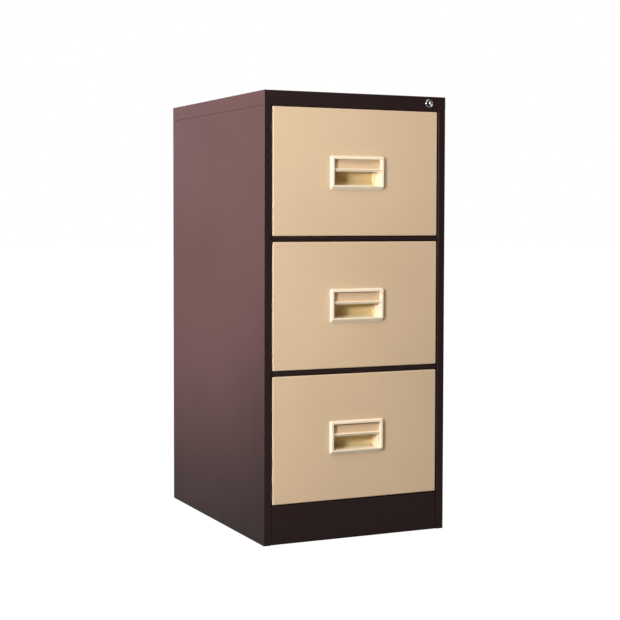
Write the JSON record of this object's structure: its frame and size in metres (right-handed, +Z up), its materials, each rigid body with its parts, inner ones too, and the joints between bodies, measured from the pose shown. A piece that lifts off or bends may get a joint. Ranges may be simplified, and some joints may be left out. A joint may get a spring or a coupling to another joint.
{
  "type": "filing cabinet",
  "caption": "Upright steel filing cabinet with full-extension drawers on telescopic slides, recessed plastic handles and a lock at the top right that lifts a locking bar.",
  "frame": {"origin": "on the floor, under the middle of the cabinet's outline with its handles", "axes": "+Z up, front faces -Y, +X to the right of a person who stands in front"},
  "size_m": [0.46, 0.626, 1.02],
  "materials": {
    "brown_paint": "dark brown powder coat, satin",
    "beige_paint": "beige powder coat, satin",
    "cream_plastic": "cream moulded plastic, semi-gloss",
    "zinc_steel": "zinc-plated steel",
    "chrome": "bright chrome",
    "black_plastic": "black nylon"
  },
  "bodies": {
    "cabinet": {"left_side_panel": "brown_paint", "right_side_panel": "brown_paint", "back_panel": "brown_paint", "top_cover": "brown_paint", "kick_plate": "brown_paint", "top_front_rail": "brown_paint", "upper_cross_rail": "brown_paint", "lower_cross_rail": "brown_paint", "base_panel": "brown_paint", "front_left_upright": "zinc_steel", "front_right_upright": "zinc_steel", "rear_left_upright": "zinc_steel", "rear_right_upright": "zinc_steel", "front_left_foot": "black_plastic", "front_right_foot": "black_plastic", "rear_left_foot": "black_plastic", "rear_right_foot": "black_plastic", "lock_housing": "chrome", "lock_nut": "zinc_steel", "upper_bar_guide": "zinc_steel", "lower_bar_guide": "zinc_steel", "top_left_runner": "zinc_steel", "top_right_runner": "zinc_steel", "middle_left_runner": "zinc_steel", "middle_right_runner": "zinc_steel", "bottom_left_runner": "zinc_steel", "bottom_right_runner": "zinc_steel"},
    "top_drawer": {"top_drawer_front": "beige_paint", "top_drawer_liner": "beige_paint", "top_drawer_handle": "cream_plastic", "top_drawer_tray": "zinc_steel", "top_drawer_back": "zinc_steel", "top_left_drawer_slide": "zinc_steel", "top_right_drawer_slide": "zinc_steel", "top_drawer_lock_catch": "zinc_steel"},
    "top_slides": {"top_left_middle_slide": "zinc_steel", "top_right_middle_slide": "zinc_steel"},
    "middle_drawer": {"middle_drawer_front": "beige_paint", "middle_drawer_liner": "beige_paint", "middle_drawer_handle": "cream_plastic", "middle_drawer_tray": "zinc_steel", "middle_drawer_back": "zinc_steel", "middle_left_drawer_slide": "zinc_steel", "middle_right_drawer_slide": "zinc_steel", "middle_drawer_lock_catch": "zinc_steel"},
    "middle_slides": {"middle_left_middle_slide": "zinc_steel", "middle_right_middle_slide": "zinc_steel"},
    "bottom_drawer": {"bottom_drawer_front": "beige_paint", "bottom_drawer_liner": "beige_paint", "bottom_drawer_handle": "cream_plastic", "bottom_drawer_tray": "zinc_steel", "bottom_drawer_back": "zinc_steel", "bottom_left_drawer_slide": "zinc_steel", "bottom_right_drawer_slide": "zinc_steel", "bottom_drawer_lock_catch": "zinc_steel"},
    "bottom_slides": {"bottom_left_middle_slide": "zinc_steel", "bottom_right_middle_slide": "zinc_steel"},
    "lock_plug": {"lock_plug": "chrome", "lock_crank": "zinc_steel"},
    "lock_bar": {"lock_bar": "zinc_steel"}
  },
  "joints": [
    {"name": "top_drawer_slide", "type": "slide", "parent": "cabinet", "child": "top_drawer", "axis": [0, -1, 0], "range_m": [0, 0.5]},
    {"name": "top_middle_slides", "type": "slide", "parent": "cabinet", "child": "top_slides", "axis": [0, -1, 0], "range_m": [0, 0.25]},
    {"name": "middle_drawer_slide", "type": "slide", "parent": "cabinet", "child": "middle_drawer", "axis": [0, -1, 0], "range_m": [0, 0.5]},
    {"name": "middle_middle_slides", "type": "slide", "parent": "cabinet", "child": "middle_slides", "axis": [0, -1, 0], "range_m": [0, 0.25]},
    {"name": "bottom_drawer_slide", "type": "slide", "parent": "cabinet", "child": "bottom_drawer", "axis": [0, -1, 0], "range_m": [0, 0.5]},
    {"name": "bottom_middle_slides", "type": "slide", "parent": "cabinet", "child": "bottom_slides", "axis": [0, -1, 0], "range_m": [0, 0.25]},
    {"name": "lock_turn", "type": "hinge", "parent": "cabinet", "child": "lock_plug", "pos_m": [0.1857, -0.307, 1.0045], "axis": [0, -1, 0], "range_deg": [0, 90]},
    {"name": "lock_bar_lift", "type": "slide", "parent": "cabinet", "child": "lock_bar", "axis": [0, 0, 1], "range_m": [0, 0.0128]}
  ],
  "couplings": [
    {"joint": "top_middle_slides", "follows": "top_drawer_slide", "ratio": 0.5},
    {"joint": "middle_middle_slides", "follows": "middle_drawer_slide", "ratio": 0.5},
    {"joint": "bottom_middle_slides", "follows": "bottom_drawer_slide", "ratio": 0.5},
    {"joint": "lock_bar_lift", "follows": "lock_turn", "m_per_rad": 0.0081}
  ]
}
